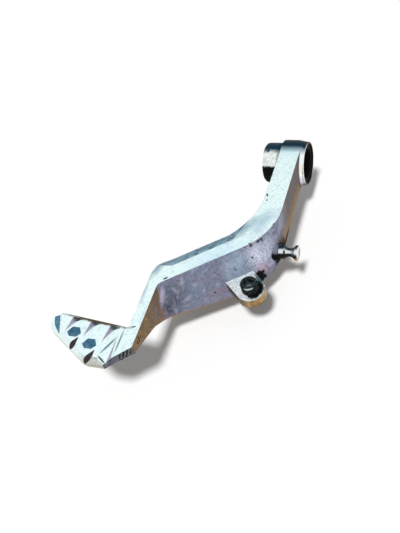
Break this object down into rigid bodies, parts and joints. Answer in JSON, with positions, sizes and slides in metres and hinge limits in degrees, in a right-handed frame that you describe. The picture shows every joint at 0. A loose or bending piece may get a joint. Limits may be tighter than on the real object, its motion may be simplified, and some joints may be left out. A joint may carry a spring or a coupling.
{
  "type": "motorbike rear brake pedal",
  "caption": "Cranked rear brake pedal of a motorbike: bushed pivot boss, bevelled cast arm with a screw lug and a spring pin, and a foot pad with a cut tread.",
  "frame": {"origin": "middle of the pivot boss, on the pivot's axis", "axes": "+X forward from the pivot to the foot pad, +Y inboard along the pivot, +Z square to the arm's flat top"},
  "size_m": [0.1811, 0.1222, 0.0295],
  "materials": {
    "cast_aluminium": "worn bright casting, satin top and duller walls",
    "bush_bronze": "plain turned bronze",
    "seal_rubber": "matt black",
    "pin_steel": "turned and bright",
    "screw_steel": "black oxide, oily"
  },
  "bodies": {
    "root": {"lever_casting": "cast_aluminium", "outboard_bush": "bush_bronze", "inboard_bush": "bush_bronze", "dust_seal": "seal_rubber", "return_spring_pin": "pin_steel", "lug_screw": "screw_steel"}
  },
  "joints": []
}
